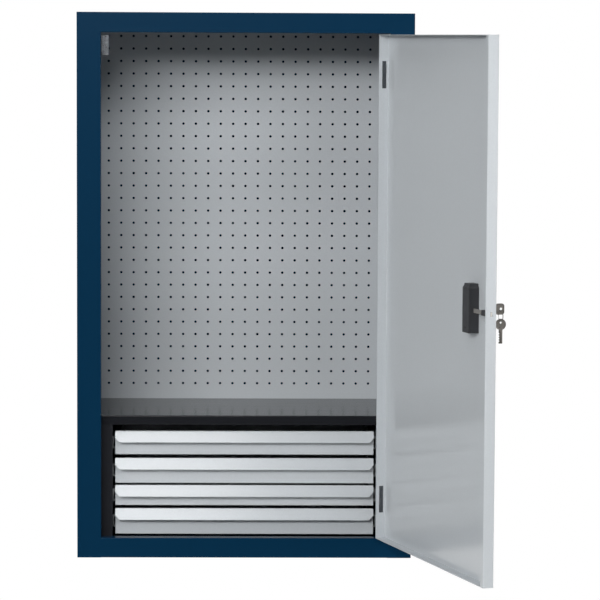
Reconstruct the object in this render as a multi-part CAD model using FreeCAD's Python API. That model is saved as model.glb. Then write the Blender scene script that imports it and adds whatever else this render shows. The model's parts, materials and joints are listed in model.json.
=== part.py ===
import FreeCAD, Part
import math
import os

# Wall cabinet with a perforated tool panel, four shallow drawers and one hinged door.
# Millimetres. X runs to the right, Y towards the wall, Z up.
# The origin is the centre of the four wall fixing holes, on the wall plane.

Vector = FreeCAD.Vector
UP = Vector(0, 0, 1)
REARWARD = Vector(0, 1, 0)
SIDEWAYS = Vector(1, 0, 0)

# Carcass
cabinet_width = 645.0
cabinet_height = 1050.0
cabinet_depth = 320.0
body_sheet = 1.2
body_bend = 0.5
frame_stile = 46.0
frame_rail = 38.5
frame_past_door = 1.7
rear_flange = 18.0
wall_hole_radius = 5.0
wall_hole_side_inset = 85.0
wall_hole_end_inset = 75.0

# Perforated tool panel and the hat rails behind it
tool_rear_space = 18.6
tool_sheet = 1.2
tool_edge_gap = 0.5
tool_hole_radius = 2.5
tool_hole_pitch = 25.0
tool_side_margin = 45.0
tool_first_row_drop = 45.0
tool_last_row_margin = 25.0
tool_panel_below_shelf = 20.0
hat_sheet = 1.2
hat_bend = 0.5
hat_height = 12.0
hat_lip = 8.0
hat_drop = 27.0
hat_above_shelf = 4.0
panel_screw_radius = 2.0
panel_screw_length = 8.0
panel_screw_head_radius = 3.8
panel_screw_head_height = 2.2
panel_screw_inset = 8.0
screw_hole_clearance = 0.1

# Drawer unit
shelf_door_gap = 3.7
shelf_sheet = 1.2
shelf_bend = 0.8
shelf_flange = 18.0
shelf_rear_gap = 0.3
shelf_side_gap = 0.3
unit_stile_show = 21.0
unit_sheet = 1.2
unit_bend = 0.5
unit_rear_flange = 20.0

# Drawers, from the top one down
drawer_front_heights = (47.0, 50.0, 40.5, 51.5)
drawer_front_gaps = (31.0, 6.0, 3.0, 5.0)
drawer_floor_gap = 1.5
drawer_side_gap = 5.0
lip_door_gap = 2.7
drawer_sheet = 1.0
drawer_bend = 0.6
drawer_edge_return = 4.0
lip_height = 22.0
lip_reach = 14.0
lip_chamfer = 9.0
tray_rear_gap = 11.0
tray_lift = 4.0
tray_headroom = 5.0

# Drawer rails and runners
rail_height = 24.0
rail_space = 12.8
rail_sheet = 1.5
rail_bend = 0.4
rail_tip_gap = 1.1
rail_front_gap = 3.0
rail_rear_gap = 9.0
runner_tip_gap = 0.6
runner_play = 0.25

# Door
door_open_angle = 107.6
door_depth = 20.3
door_sheet = 1.2
door_bend = 0.6
door_free_gap = 3.0
door_end_gap = 2.0
door_lip = 12.0

# Door stop tab in the upper corner of the frame
stop_sheet = 1.2
stop_bend = 0.5
stop_gap = 0.3
stop_leg = 14.0
stop_reach = 14.0
stop_height = 38.0
stop_drop = 44.0

# Hinges
hinge_height = 60.0
hinge_inset = 76.0
leaf_sheet = 0.9
leaf_gap = 0.2
leaf_depth = 18.0
knuckle_radius = 3.0
knuckle_front_gap = 0.2
knuckle_end_gap = 0.2
pin_radius = 1.5
pin_play = 0.05
pin_head_radius = 2.6
pin_head_height = 1.0
hinge_slot_width = 8.5
hinge_slot_height = 52.0
hinge_slot_depth = 9.5

# Lock, placed from the door's free edge and from the cabinet's bottom
lock_inset = 94.0
lock_height = 523.5
case_width = 30.0
case_height = 88.0
case_depth = 20.0
case_wall = 1.5
case_edge_round = 2.0
case_shift = -1.0
case_rise = 3.5
case_screw_radius = 1.5
case_screw_head_radius = 3.0
case_screw_head_height = 1.2
case_screw_inset = 9.0
case_boss_radius = 4.0
spindle_radius = 4.0
spindle_play = 0.3
cam_rim = 2.5
cam_thickness = 2.5
cam_skin_gap = 3.5
crank_radius = 8.0
crank_turn = 90.0
crank_pin_radius = 1.5
crank_slot_play = 0.4
bolt_height = 7.5
bolt_thickness = 3.5
bolt_cam_gap = 0.5
bolt_tail = 6.0
yoke_wall = 3.0
yoke_side_wall = 4.0
bolt_guide_play = 0.2
bolt_tip_setback = 0.5
bolt_hole_play = 0.3
guide_length = 39.0
guide_height = 10.0
guide_thickness = 6.5
guide_round = 2.5
lip_notch_height = 24.0
strike_play = 1.5
rosette_radius = 23.0
rosette_thickness = 3.0
rosette_round = 1.2
knob_radius = 18.0
knob_base_height = 9.0
knob_height = 27.5
knob_grip_wall = 0.8
knob_round = 2.0
knob_gap = 0.3
cylinder_radius = 7.0
cylinder_length = 22.0
cylinder_rim_radius = 7.8
cylinder_rim_height = 0.8
fit_play = 0.05
plug_radius = 4.5
plug_inset = 0.5

# Keys and ring
key_sheet = 2.0
key_blade_width = 6.6
key_tip_gap = 3.0
key_shank_length = 5.0
key_way_play = 0.1
key_bow_length = 17.0
key_bow_height = 20.0
key_bow_round = 5.0
key_hole_radius = 2.6
key_hole_inset = 6.5
key_bit_count = 4
key_bit_depth = 1.8
key_bit_pitch = 4.4
ring_radius = 10.5
ring_wire_radius = 0.7
ring_play = 0.2
spare_bow_radius = 10.0
spare_hole_rise = 3.5
spare_hole_radius = 2.2

# Tools run past the faces they cut by this much
overrun = 2.0

# Places that follow from the sizes above
half_width = cabinet_width / 2
front = -cabinet_depth
top = cabinet_height / 2
bottom = -top
frame_return = door_depth + frame_past_door
opening_half = half_width - frame_stile
opening_top = top - frame_rail
opening_bottom = bottom + frame_rail
inner_half = half_width - body_sheet
rear_inside = -body_sheet
tool_panel_back = rear_inside - tool_rear_space
tool_panel_front = tool_panel_back - tool_sheet
shelf_top = opening_bottom + drawer_floor_gap + sum(drawer_front_heights) + sum(drawer_front_gaps)
shelf_front = front + door_depth + shelf_door_gap
unit_half = opening_half - unit_stile_show
drawer_half = unit_half - drawer_side_gap
drawer_face = front + door_depth + lip_door_gap + lip_reach
tray_half = unit_half - rail_space
tray_start = drawer_face + drawer_sheet
tray_end = tool_panel_front - tray_rear_gap
rail_front = drawer_face + drawer_edge_return + rail_front_gap
rail_rear = tool_panel_front - rail_rear_gap
hat_places = (top - hat_drop, shelf_top + hat_above_shelf)

door_edge_gap = leaf_sheet + leaf_gap + leaf_sheet
door_right = opening_half - door_edge_gap
door_left = -opening_half + door_free_gap
door_top = opening_top - door_end_gap
door_bottom = opening_bottom + door_end_gap
door_rear = front + door_depth
skin_inside = front + door_sheet
hinge_x = opening_half - door_edge_gap / 2
hinge_y = front - knuckle_radius - knuckle_front_gap
hinge_axis_point = Vector(hinge_x, hinge_y, 0)
hinge_places = {"upper": door_top - hinge_inset, "lower": door_bottom + hinge_inset}

lock_x = door_left + lock_inset
lock_z = bottom + lock_height
case_x = lock_x + case_shift
case_z = lock_z + case_rise
case_low_x = case_x - case_width / 2
case_back = skin_inside + case_depth
cam_front = skin_inside + cam_skin_gap
cam_back = cam_front + cam_thickness
bolt_front = cam_back + bolt_cam_gap
bolt_back = bolt_front + bolt_thickness
bolt_middle = (bolt_front + bolt_back) / 2
crank_throw = crank_radius * math.sin(math.radians(crank_turn / 2))
yoke_x = lock_x + crank_throw
yoke_slot_half = crank_pin_radius + crank_slot_play
bolt_end_x = door_left + bolt_tip_setback
guide_low_x = door_left + door_sheet
guide_high_x = guide_low_x + guide_length
knob_front = front - rosette_thickness - knob_gap - knob_height
plug_face = knob_front - cylinder_rim_height
plug_end = knob_front + cylinder_length - plug_inset - fit_play
blade_tip = plug_end - key_tip_gap
bow_root = plug_face - key_shank_length
key_blade_length = blade_tip - bow_root
bow_tip = bow_root - key_bow_length
key_hole_y = bow_tip + key_hole_inset
ring_top_z = lock_z - key_hole_radius + ring_wire_radius + ring_play
ring_bottom_z = ring_top_z - ring_radius - ring_radius
spare_hole_z = ring_bottom_z - spare_hole_radius + ring_wire_radius + ring_play
spare_bow_z = spare_hole_z - spare_hole_rise


def block(low_x, high_x, low_y, high_y, low_z, high_z):
    """Box between two corners."""
    corner = Vector(low_x, low_y, low_z)
    return Part.makeBox(high_x - low_x, high_y - low_y, high_z - low_z, corner)


def rod(radius, start, end):
    """Round bar between two points."""
    run = end - start
    return Part.makeCylinder(radius, run.Length, start, run)


def left_of(step):
    """Unit step turned a quarter to the left."""
    return Vector(-step.y, step.x, 0)


def shifted_path(points, steps, distance):
    """Path moved to its left by a distance, with mitred corners."""
    moved = [points[0] + left_of(steps[0]) * distance]
    for here, before, after in zip(points[1:], steps, steps[1:]):
        mitre = left_of(before) + left_of(after)
        moved.append(here + mitre * (distance / (1 + before.dot(after))))
    moved.append(points[-1] + left_of(steps[-1]) * distance)
    return moved


def rounded_path(points, radii):
    """Edges along a path whose corners are rounded to the given radii."""
    edges = []
    start = points[0]
    for before, here, after, radius in zip(points, points[1:], points[2:], radii):
        back = (before - here).normalize()
        ahead = (after - here).normalize()
        half_angle = back.getAngle(ahead) / 2
        reach = radius / math.tan(half_angle)
        depth = radius / math.sin(half_angle) - radius
        first = here + back * reach
        middle = here + (back + ahead).normalize() * depth
        last = here + ahead * reach
        edges.append(Part.LineSegment(start, first).toShape())
        edges.append(Part.Arc(first, middle, last).toShape())
        start = last
    edges.append(Part.LineSegment(start, points[-1]).toShape())
    return edges


def folded_sheet(corners, thickness, bend):
    """Flat section of a sheet folded along corners, its thickness to the left of the path."""
    path = [Vector(u, v, 0) for u, v in corners]
    steps = [(after - before).normalize() for before, after in zip(path, path[1:])]
    other = shifted_path(path, steps, thickness)
    turns = [before.cross(after).z > 0 for before, after in zip(steps, steps[1:])]
    path_radii = [bend + thickness if left else bend for left in turns]
    other_radii = [bend if left else bend + thickness for left in turns]
    edges = rounded_path(path, path_radii) + rounded_path(other, other_radii)
    edges.append(Part.LineSegment(path[0], other[0]).toShape())
    edges.append(Part.LineSegment(path[-1], other[-1]).toShape())
    return Part.Face(Part.Wire(Part.__sortEdges__(edges)))


def outline(corners):
    """Flat section with straight sides."""
    points = [Vector(u, v, 0) for u, v in corners]
    return Part.Face(Part.makePolygon(points + points[:1]))


def along_z(section, low, high):
    """Section drawn in X and Y, carried from low to high in Z."""
    solid = section.extrude(UP * (high - low))
    solid.translate(UP * low)
    return solid


def along_x(section, low, high):
    """Section drawn in Y and Z, carried from low to high in X."""
    solid = along_z(section, low, high)
    solid.rotate(Vector(), Vector(1, 1, 1), 120)
    return solid


def along_y(section, low, high):
    """Section drawn in X and Z, carried from low to high in Y."""
    solid = along_z(section, -high, -low)
    solid.rotate(Vector(), SIDEWAYS, 90)
    return solid


def mirrored(shape, direction):
    """Copy on the other side of the plane through the origin."""
    return shape.mirror(Vector(), direction)


def joined(shapes):
    """One solid from touching solids."""
    return shapes[0].fuse(shapes[1:]).removeSplitter()


def opened(shape):
    """Door piece swung from shut to the stored open position."""
    swung = shape.copy()
    swung.rotate(hinge_axis_point, UP, door_open_angle)
    return swung


def save(name, *shapes):
    """Write the solids of a node."""
    solids = [solid for shape in shapes for solid in shape.Solids]
    node = solids[0] if len(solids) == 1 else Part.makeCompound(solids)
    node.exportStep(f"parts/{name}.step")


def side_panel():
    """Right side panel: wall, rear flange, frame stile and its return."""
    stile_path = [
        (opening_half, front),
        (half_width, front),
        (half_width, rear_inside),
        (half_width - rear_flange, rear_inside),
    ]
    return_path = [(opening_half, front + frame_return)] + stile_path
    plain = folded_sheet(stile_path, body_sheet, body_bend)
    jamb = folded_sheet(return_path, body_sheet, body_bend)
    return joined([
        along_z(jamb, opening_bottom, opening_top),
        along_z(plain, bottom, opening_bottom),
        along_z(plain, opening_top, top),
    ])


def strike_slot():
    """Hole in the left jamb that takes the thrown bolt."""
    half_thickness = bolt_thickness / 2 + strike_play
    half_height = bolt_height / 2 + strike_play
    return block(
        -opening_half - body_sheet - overrun, -opening_half + overrun,
        bolt_middle - half_thickness, bolt_middle + half_thickness,
        lock_z - half_height, lock_z + half_height,
    )


def top_panel():
    """Top panel with frame rail, its return and a rear flange, and plates over the stiles."""
    path = [
        (rear_inside, top - rear_flange),
        (rear_inside, top),
        (front, top),
        (front, opening_top),
        (front + frame_return, opening_top),
    ]
    middle = along_x(folded_sheet(path, body_sheet, body_bend), -opening_half, opening_half)
    plate = block(
        opening_half, inner_half, front + body_sheet, rear_inside - body_sheet, top - body_sheet, top
    )
    corner_x = inner_half - body_bend
    for corner_y in (front + body_sheet, rear_inside - body_sheet):
        plate = plate.cut(block(
            corner_x, inner_half + overrun, corner_y - body_bend, corner_y + body_bend,
            top - body_sheet - overrun, top + overrun,
        ))
    return joined([middle, plate, mirrored(plate, SIDEWAYS)])


def back_panel():
    """Rear sheet with the four wall fixing holes."""
    sheet = block(-half_width, half_width, -body_sheet, 0, bottom, top)
    for side in (-1, 1):
        for end in (-1, 1):
            x = side * (half_width - wall_hole_side_inset)
            z = end * (top - wall_hole_end_inset)
            hole = rod(wall_hole_radius, Vector(x, -body_sheet - overrun, z), Vector(x, overrun, z))
            sheet = sheet.cut(hole)
    return sheet


def panel_screw_places():
    """Screws that hold the tool panel to the hat rails, hidden behind the frame and the shelf."""
    reach = half_width - rear_flange - panel_screw_inset
    upper = hat_places[0] + (hat_height + hat_lip) / 2
    lower = hat_places[1] - (hat_height + hat_lip) / 2
    return [(x, z) for z in (upper, lower) for x in (-reach, 0, reach)]


def panel_screw_hole(x, z):
    """Clearance hole for a panel screw through panel and rail lip."""
    radius = panel_screw_radius + screw_hole_clearance
    start = Vector(x, tool_panel_front - overrun, z)
    end = Vector(x, tool_panel_back + hat_sheet + overrun, z)
    return rod(radius, start, end)


def hat_rail(middle_z):
    """Hat rail between the back panel and the tool panel."""
    web = rear_inside - hat_sheet
    half = hat_height / 2
    path = [
        (tool_panel_back, middle_z + half + hat_lip),
        (tool_panel_back, middle_z + half),
        (web, middle_z + half),
        (web, middle_z - half),
        (tool_panel_back, middle_z - half),
        (tool_panel_back, middle_z - half - hat_lip),
    ]
    reach = half_width - rear_flange - tool_edge_gap
    rail = along_x(folded_sheet(path, hat_sheet, hat_bend), -reach, reach)
    return rail.cut([panel_screw_hole(x, z) for x, z in panel_screw_places()])


def tool_panel():
    """Perforated panel with its square grid of round holes."""
    reach = inner_half - tool_edge_gap
    low = shelf_top - tool_panel_below_shelf
    high = top - body_sheet - tool_edge_gap
    corners = [(-reach, low), (reach, low), (reach, high), (-reach, high), (-reach, low)]
    wires = [Part.makePolygon([Vector(x, 0, z) for x, z in corners])]
    columns = math.floor((inner_half - tool_side_margin) / tool_hole_pitch)
    first_row = top - tool_first_row_drop
    rows = math.floor((first_row - shelf_top - tool_last_row_margin) / tool_hole_pitch)
    for column in range(-columns, columns + 1):
        for row in range(rows + 1):
            x = column * tool_hole_pitch
            z = first_row - row * tool_hole_pitch
            wires.append(Part.Wire(Part.makeCircle(tool_hole_radius, Vector(x, 0, z), REARWARD)))
    sheet = Part.makeFace(wires, "Part::FaceMakerBullseye").extrude(REARWARD * tool_sheet)
    sheet.translate(REARWARD * tool_panel_front)
    return sheet.cut([panel_screw_hole(x, z) for x, z in panel_screw_places()])


def panel_screw(x, z):
    """Pan head screw in the tool panel."""
    seat = Vector(x, tool_panel_front, z)
    head = rod(panel_screw_head_radius, seat - REARWARD * panel_screw_head_height, seat)
    head = head.makeFillet(panel_screw_head_height / 2, [head.Edges[0]])
    shank = rod(panel_screw_radius, seat, seat + REARWARD * panel_screw_length)
    return joined([head, shank])


def shelf():
    """Shelf sheet over the drawers with a front flange."""
    path = [
        (tool_panel_front - shelf_rear_gap, shelf_top),
        (shelf_front, shelf_top),
        (shelf_front, shelf_top - shelf_flange),
    ]
    reach = inner_half - shelf_side_gap
    return along_x(folded_sheet(path, shelf_sheet, shelf_bend), -reach, reach)


def unit_side():
    """Right side sheet of the drawer unit, flanged outwards at front and rear."""
    flange_front = shelf_front + shelf_sheet
    path = [
        (unit_half + unit_rear_flange, tool_panel_front),
        (unit_half, tool_panel_front),
        (unit_half, flange_front),
        (inner_half - shelf_side_gap, flange_front),
    ]
    section = folded_sheet(path, unit_sheet, unit_bend)
    side = along_z(section, bottom + body_sheet, shelf_top - shelf_sheet)
    bend_relief = shelf_bend + shelf_sheet
    return side.cut(block(
        unit_half - overrun, inner_half + overrun, flange_front - overrun, flange_front + shelf_bend,
        shelf_top - bend_relief, shelf_top + overrun,
    ))


def door_stop():
    """Tab behind the upper free corner of the shut door, on the left jamb."""
    jamb_outside = -opening_half - body_sheet
    tab_front = front + frame_return + stop_bend + stop_gap
    path = [
        (jamb_outside - stop_sheet, tab_front + stop_sheet - stop_leg),
        (jamb_outside - stop_sheet, tab_front + stop_sheet),
        (-opening_half + stop_reach, tab_front + stop_sheet),
    ]
    mirrored_path = [(-x, y) for x, y in path]
    high = top - stop_drop
    tab = along_z(folded_sheet(mirrored_path, stop_sheet, stop_bend), high - stop_height, high)
    return mirrored(tab, SIDEWAYS)


def drawer_levels():
    """Bottom and top of each drawer front."""
    levels = []
    high = shelf_top
    for gap, height in zip(drawer_front_gaps, drawer_front_heights):
        high -= gap
        levels.append((high - height, high))
        high -= height
    return levels


def drawer_front(low, high):
    """Folded front with a sloping pull lip along its top edge."""
    half = drawer_half
    face = drawer_face
    lip_front = face - lip_reach
    lip_low = high - lip_height
    path = [
        (lip_front, lip_low),
        (face, high),
        (face, low),
        (face + drawer_edge_return, low),
    ]
    sheet = along_x(folded_sheet(path, drawer_sheet, drawer_bend), -half, half)
    end_high = high - lip_height / 2
    end = block(half - drawer_sheet, half, face + drawer_sheet / 2, face + drawer_edge_return, low, end_high)
    corner = [
        (half + overrun, lip_low - overrun),
        (half + overrun, lip_low + lip_chamfer + overrun),
        (half - lip_chamfer - overrun, lip_low - overrun),
    ]
    chamfer = along_y(outline(corner), lip_front - overrun, face)
    front_sheet = joined([sheet, end, mirrored(end, SIDEWAYS)])
    return front_sheet.cut([chamfer, mirrored(chamfer, SIDEWAYS)])


def tray_levels(low, high):
    """Underside and rim of the tray behind a front."""
    return low + tray_lift, high - tray_headroom


def tray_space(low_z, high_z):
    """Room between the four walls of a drawer tray."""
    half = tray_half - drawer_sheet
    return block(-half, half, tray_start + drawer_sheet, tray_end - drawer_sheet, low_z, high_z)


def tray_walls(low, high):
    """Band of four walls fixed to the back of a drawer front."""
    underside, rim = tray_levels(low, high)
    outside = block(-tray_half, tray_half, tray_start, tray_end, underside, rim)
    return outside.cut(tray_space(underside - overrun, rim + overrun))


def tray_floor(low, high):
    """Bottom sheet welded in between the tray walls."""
    underside, rim = tray_levels(low, high)
    return tray_space(underside, underside + drawer_sheet)


def drawer_rail(middle_z):
    """Right fixed rail: a channel that opens towards the drawer."""
    half = rail_height / 2
    tip = tray_half + rail_sheet + rail_tip_gap
    path = [
        (tip, middle_z - half),
        (unit_half, middle_z - half),
        (unit_half, middle_z + half),
        (tip, middle_z + half),
    ]
    return along_y(folded_sheet(path, rail_sheet, rail_bend), rail_front, rail_rear)


def drawer_runner(middle_z):
    """Right runner: a channel on the tray that nests in the fixed rail."""
    half = rail_height / 2 - rail_sheet - runner_play
    tip = unit_half - rail_sheet - runner_tip_gap
    path = [
        (tip, middle_z + half),
        (tray_half, middle_z + half),
        (tray_half, middle_z - half),
        (tip, middle_z - half),
    ]
    return along_y(folded_sheet(path, rail_sheet, rail_bend), rail_front, rail_rear)


def hinge_slot(middle_z):
    """Slot in the door's hinge flange at a hinge leaf."""
    middle_y = front + hinge_slot_depth
    half_width_y = hinge_slot_width / 2
    half_height = hinge_slot_height / 2
    return block(
        door_right - door_sheet - overrun, door_right + overrun,
        middle_y - half_width_y, middle_y + half_width_y,
        middle_z - half_height, middle_z + half_height,
    )


def bolt_hole():
    """Hole in the free edge flange for the bolt."""
    half_thickness = bolt_thickness / 2 + bolt_hole_play
    half_height = bolt_height / 2 + bolt_hole_play
    return block(
        door_left - overrun, door_left + door_sheet + door_bend + overrun,
        bolt_middle - half_thickness, bolt_middle + half_thickness,
        lock_z - half_height, lock_z + half_height,
    )


def door_panel():
    """Shut door pan: skin, four flanges and a lip along the free edge."""
    path = [
        (door_left + door_lip, door_rear),
        (door_left, door_rear),
        (door_left, front),
        (door_right, front),
        (door_right, door_rear),
    ]
    pan = along_z(folded_sheet(path, door_sheet, door_bend), door_bottom, door_top)
    flanges = [
        block(
            door_left + door_sheet / 2, door_right - door_sheet / 2,
            front + door_sheet / 2, door_rear, low, low + door_sheet,
        )
        for low in (door_bottom, door_top - door_sheet)
    ]
    spindle_hole = rod(
        spindle_radius + spindle_play,
        Vector(lock_x, front - overrun, lock_z), Vector(lock_x, skin_inside + overrun, lock_z),
    )
    lip_notch = block(
        door_left + door_sheet + door_bend, door_left + door_lip + overrun,
        door_rear - door_sheet - overrun, door_rear + overrun,
        lock_z - lip_notch_height / 2, lock_z + lip_notch_height / 2,
    )
    slots = [hinge_slot(z) for z in hinge_places.values()]
    return joined([pan] + flanges).cut(slots + [spindle_hole, lip_notch, bolt_hole()])


def knuckle(low_z, high_z, leaf_low_x, leaf_high_x):
    """Barrel of a hinge leaf with the web that carries it."""
    barrel = rod(knuckle_radius, Vector(hinge_x, hinge_y, low_z), Vector(hinge_x, hinge_y, high_z))
    web = block(leaf_low_x, leaf_high_x, hinge_y, front, low_z, high_z)
    return [barrel, web]


def hinge_bore(middle_z):
    """Bore for the hinge pin."""
    reach = hinge_height / 2 + overrun
    start = Vector(hinge_x, hinge_y, middle_z - reach)
    return rod(pin_radius + pin_play, start, start + UP * (reach + reach))


def frame_leaf(middle_z):
    """Hinge leaf on the jamb with the two outer knuckles."""
    half = hinge_height / 2
    middle_half = hinge_height / 6
    low_x = opening_half - leaf_sheet
    plate = block(low_x, opening_half, front, front + leaf_depth, middle_z - half, middle_z + half)
    parts = [plate]
    parts += knuckle(middle_z - half, middle_z - middle_half - knuckle_end_gap, low_x, opening_half)
    parts += knuckle(middle_z + middle_half + knuckle_end_gap, middle_z + half, low_x, opening_half)
    return joined(parts).cut(hinge_bore(middle_z))


def door_leaf(middle_z):
    """Hinge leaf on the door's edge with the middle knuckle."""
    half = hinge_height / 2
    middle_half = hinge_height / 6
    high_x = door_right + leaf_sheet
    plate = block(door_right, high_x, front, front + leaf_depth, middle_z - half, middle_z + half)
    parts = [plate] + knuckle(middle_z - middle_half, middle_z + middle_half, door_right, high_x)
    return joined(parts).cut(hinge_bore(middle_z))


def hinge_pin(middle_z):
    """Hinge pin headed at both ends."""
    half = hinge_height / 2
    middle = Vector(hinge_x, hinge_y, middle_z)
    shank = rod(pin_radius, middle - UP * half, middle + UP * half)
    heads = [
        rod(pin_head_radius, middle + UP * (side * half), middle + UP * (side * (half + pin_head_height)))
        for side in (-1, 1)
    ]
    return joined([shank] + heads)


def case_screw_places():
    """Screws of the lock case, above and below the works."""
    reach = case_height / 2 - case_screw_inset
    return [Vector(case_x, case_back, case_z - reach), Vector(case_x, case_back, case_z + reach)]


def lock_case():
    """Cover over the lock works, open towards the door skin."""
    half = case_width / 2
    rise = case_height / 2
    shell = block(case_x - half, case_x + half, skin_inside, case_back, case_z - rise, case_z + rise)
    back_edges = [edge for edge in shell.Edges if edge.BoundBox.YMin > case_back - case_wall]
    shell = shell.makeFillet(case_edge_round, back_edges)
    inside = block(
        case_x - half + case_wall, case_x + half - case_wall, skin_inside - overrun, case_back - case_wall,
        case_z - rise + case_wall, case_z + rise - case_wall,
    )
    bosses = [
        rod(case_boss_radius, Vector(place.x, skin_inside, place.z), place)
        for place in case_screw_places()
    ]
    shell = joined([shell.cut(inside)] + bosses)
    bolt_gate = block(
        case_low_x - overrun, case_low_x + case_wall + overrun,
        bolt_front - bolt_guide_play, bolt_back + bolt_guide_play,
        lock_z - bolt_height / 2 - bolt_guide_play, lock_z + bolt_height / 2 + bolt_guide_play,
    )
    cuts = [bolt_gate]
    for place in case_screw_places():
        sunk = place - REARWARD * case_screw_head_height
        cuts.append(rod(case_screw_head_radius + screw_hole_clearance, sunk, place + REARWARD * overrun))
        skin_point = Vector(place.x, skin_inside - overrun, place.z)
        cuts.append(rod(case_screw_radius + screw_hole_clearance, skin_point, place))
    return shell.cut(cuts)


def case_screw(place):
    """Sunk screw of the lock case, its tip on the door skin."""
    sunk = place - REARWARD * case_screw_head_height
    head = rod(case_screw_head_radius, sunk, place)
    shank = rod(case_screw_radius, Vector(place.x, skin_inside, place.z), sunk)
    return joined([head, shank])


def rosette():
    """Round plate under the knob on the door's outside."""
    centre = Vector(lock_x, front, lock_z)
    plate = rod(rosette_radius, centre, centre - REARWARD * rosette_thickness)
    rim = [edge for edge in plate.Edges if edge.BoundBox.YMax < front - rosette_thickness / 2]
    plate = plate.makeFillet(rosette_round, rim)
    hole_end = centre - REARWARD * (rosette_thickness + overrun)
    return plate.cut(rod(spindle_radius + spindle_play, centre + REARWARD * overrun, hole_end))


def knob_space(radius, length):
    """Round space in the knob for the lock cylinder."""
    face = Vector(lock_x, knob_front, lock_z)
    return rod(radius, face - REARWARD * overrun, face + REARWARD * length)


def knob():
    """Turning knob: round base and an upright grip with the lock cylinder in it."""
    root = Vector(lock_x, front - rosette_thickness - knob_gap, lock_z)
    base = rod(knob_radius, root, root - REARWARD * knob_base_height)
    base_rim = [edge for edge in base.Edges if edge.BoundBox.YMax < root.y - knob_base_height / 2]
    base = base.makeFillet(knob_round, base_rim)
    column = rod(knob_radius, root, root - REARWARD * knob_height)
    half = cylinder_rim_radius + knob_grip_wall
    bar = block(lock_x - half, lock_x + half, knob_front, root.y, lock_z - knob_radius, lock_z + knob_radius)
    grip = column.common(bar)
    grip_rim = [edge for edge in grip.Edges if edge.BoundBox.YMax < knob_front + knob_round]
    grip = grip.makeFillet(knob_round, grip_rim)
    return joined([base, grip]).cut(knob_space(cylinder_radius + fit_play, cylinder_length))


def spindle_cam():
    """Spindle from the knob through the door skin, with the cam disc and its crank pin."""
    root = Vector(lock_x, front - rosette_thickness - knob_gap, lock_z)
    spindle = rod(spindle_radius, root, Vector(lock_x, cam_back, lock_z))
    cam_radius = crank_radius + crank_pin_radius + cam_rim
    disc = rod(cam_radius, Vector(lock_x, cam_front, lock_z), Vector(lock_x, cam_back, lock_z))
    pin_start = Vector(yoke_x, cam_front, lock_z + crank_throw)
    pin = rod(crank_pin_radius, pin_start, Vector(yoke_x, bolt_back, lock_z + crank_throw))
    return joined([disc, spindle, pin])


def lock_cylinder():
    """Barrel in the knob with a thin rim on the grip."""
    face = Vector(lock_x, knob_front, lock_z)
    barrel = rod(cylinder_radius, face, face + REARWARD * (cylinder_length - fit_play))
    rim = rod(cylinder_rim_radius, face, face - REARWARD * cylinder_rim_height)
    bore_end = face + REARWARD * (cylinder_length - plug_inset)
    bore = rod(plug_radius + fit_play, face - REARWARD * overrun, bore_end)
    return joined([barrel, rim]).cut(bore)


def lock_plug():
    """Turning core of the lock with its keyway."""
    face = Vector(lock_x, plug_face, lock_z)
    core_end = Vector(lock_x, plug_end, lock_z)
    half_way = key_sheet / 2 + key_way_play
    half_width_z = key_blade_width / 2 + key_way_play
    keyway = block(
        lock_x - half_way, lock_x + half_way, plug_face - overrun, blade_tip + key_way_play,
        lock_z - half_width_z, lock_z + half_width_z,
    )
    return rod(plug_radius, face, core_end).cut(keyway)


def bit_cuts(root, direction, side):
    """V cuts along a key blade, from its tip back."""
    cuts = []
    for number in range(key_bit_count):
        middle = root + direction * (key_blade_length - key_bit_pitch * (number + 1))
        edge = middle + side * (key_blade_width / 2)
        points = [
            edge + side * overrun - direction * (key_bit_depth + overrun),
            edge - side * key_bit_depth,
            edge + side * overrun + direction * (key_bit_depth + overrun),
        ]
        face = Part.Face(Part.makePolygon(points + points[:1]))
        face.translate(SIDEWAYS * (-key_sheet))
        cuts.append(face.extrude(SIDEWAYS * (key_sheet + key_sheet)))
    return cuts


def key():
    """Key in the plug: squared bow with a ring hole, shank and bitted blade."""
    half = key_sheet / 2
    rise = key_bow_height / 2
    bow = block(lock_x - half, lock_x + half, bow_tip, bow_root, lock_z - rise, lock_z + rise)
    corners = [edge for edge in bow.Edges if edge.BoundBox.XLength > half]
    bow = bow.makeFillet(key_bow_round, corners)
    half_blade = key_blade_width / 2
    blade = block(
        lock_x - half, lock_x + half, bow_root - key_bow_round, blade_tip,
        lock_z - half_blade, lock_z + half_blade,
    )
    hole_middle = Vector(lock_x, key_hole_y, lock_z)
    hole = rod(key_hole_radius, hole_middle - SIDEWAYS * key_sheet, hole_middle + SIDEWAYS * key_sheet)
    root = Vector(lock_x, bow_root, lock_z)
    return joined([bow, blade]).cut([hole] + bit_cuts(root, REARWARD, UP))


def key_ring():
    """Wire ring through the bows of both keys."""
    centre = Vector(lock_x, key_hole_y, ring_top_z - ring_radius)
    return Part.makeTorus(ring_radius, ring_wire_radius, centre, REARWARD)


def spare_key():
    """Second key hanging on the ring: round bow with blade downwards."""
    half = key_sheet / 2
    centre = Vector(lock_x, key_hole_y, spare_bow_z)
    bow = rod(spare_bow_radius, centre - SIDEWAYS * half, centre + SIDEWAYS * half)
    half_blade = key_blade_width / 2
    tip = spare_bow_z - spare_bow_radius - key_blade_length
    blade = block(
        lock_x - half, lock_x + half, key_hole_y - half_blade, key_hole_y + half_blade,
        tip, spare_bow_z,
    )
    hole_middle = Vector(lock_x, key_hole_y, spare_hole_z)
    hole = rod(spare_hole_radius, hole_middle - SIDEWAYS * key_sheet, hole_middle + SIDEWAYS * key_sheet)
    root = Vector(lock_x, key_hole_y, spare_bow_z - spare_bow_radius)
    return joined([bow, blade]).cut([hole] + bit_cuts(root, -UP, REARWARD))


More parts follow.
